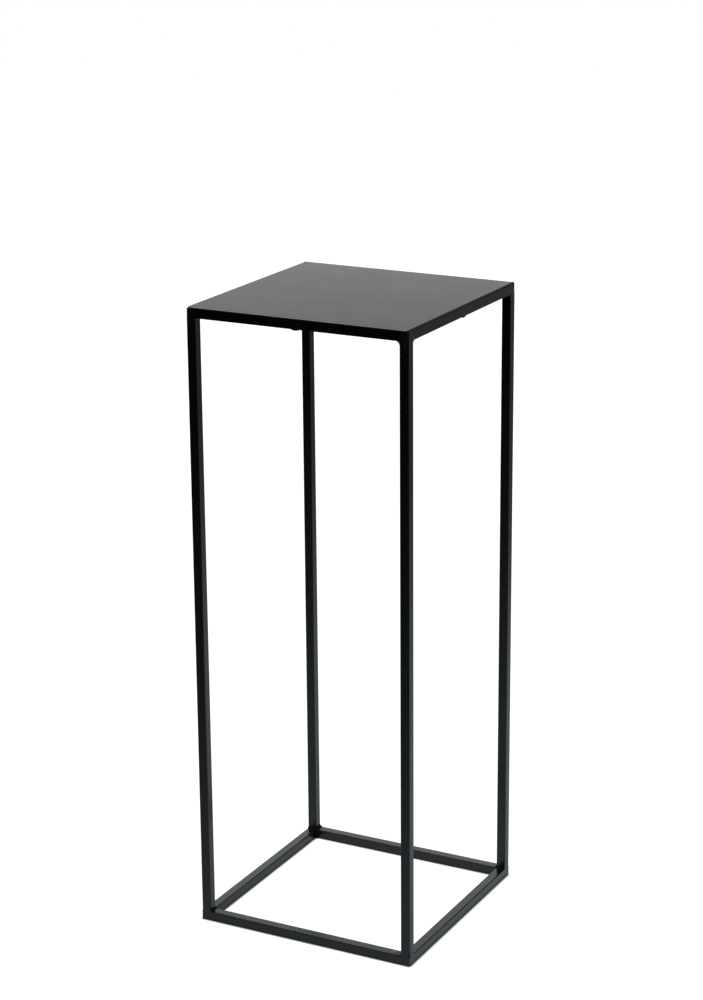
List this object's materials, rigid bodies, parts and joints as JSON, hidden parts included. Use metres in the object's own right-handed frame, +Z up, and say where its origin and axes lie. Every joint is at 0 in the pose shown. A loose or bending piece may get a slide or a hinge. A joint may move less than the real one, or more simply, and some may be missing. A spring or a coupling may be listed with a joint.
{
  "type": "display plinth",
  "caption": "Slim square display plinth or plant stand: open welded square-tube frame with four legs, a base frame on the floor and a flat folded sheet tray on top.",
  "frame": {"origin": "middle of the footprint, on the floor", "axes": "+Z up along the legs, +X to the right, +Y to the back; the front is -Y"},
  "size_m": [0.24, 0.24, 0.65],
  "materials": {
    "tray_powder_coat": "satin black powder coat on folded sheet",
    "frame_powder_coat": "satin black powder coat on drawn square tube",
    "weld_powder_coat": "satin black powder coat over weld beads"
  },
  "bodies": {
    "root": {"base_fillet_weld_back_left": "weld_powder_coat", "base_fillet_weld_back_right": "weld_powder_coat", "base_fillet_weld_front_left": "weld_powder_coat", "base_fillet_weld_front_right": "weld_powder_coat", "base_rail_back": "frame_powder_coat", "base_rail_front": "frame_powder_coat", "base_rail_left": "frame_powder_coat", "base_rail_right": "frame_powder_coat", "base_seam_weld_back_left": "weld_powder_coat", "base_seam_weld_back_right": "weld_powder_coat", "base_seam_weld_front_left": "weld_powder_coat", "base_seam_weld_front_right": "weld_powder_coat", "leg_back_left": "frame_powder_coat", "leg_back_right": "frame_powder_coat", "leg_front_left": "frame_powder_coat", "leg_front_right": "frame_powder_coat", "top_fillet_weld_back_left": "weld_powder_coat", "top_fillet_weld_back_right": "weld_powder_coat", "top_fillet_weld_front_left": "weld_powder_coat", "top_fillet_weld_front_right": "weld_powder_coat", "top_rail_back": "frame_powder_coat", "top_rail_front": "frame_powder_coat", "top_rail_left": "frame_powder_coat", "top_rail_right": "frame_powder_coat", "tray": "tray_powder_coat", "tray_seam_weld_back_left": "weld_powder_coat", "tray_seam_weld_back_right": "weld_powder_coat", "tray_seam_weld_front_left": "weld_powder_coat", "tray_seam_weld_front_right": "weld_powder_coat", "tray_tack_weld_back": "weld_powder_coat", "tray_tack_weld_front": "weld_powder_coat", "tray_tack_weld_left": "weld_powder_coat", "tray_tack_weld_right": "weld_powder_coat"}
  },
  "joints": []
}
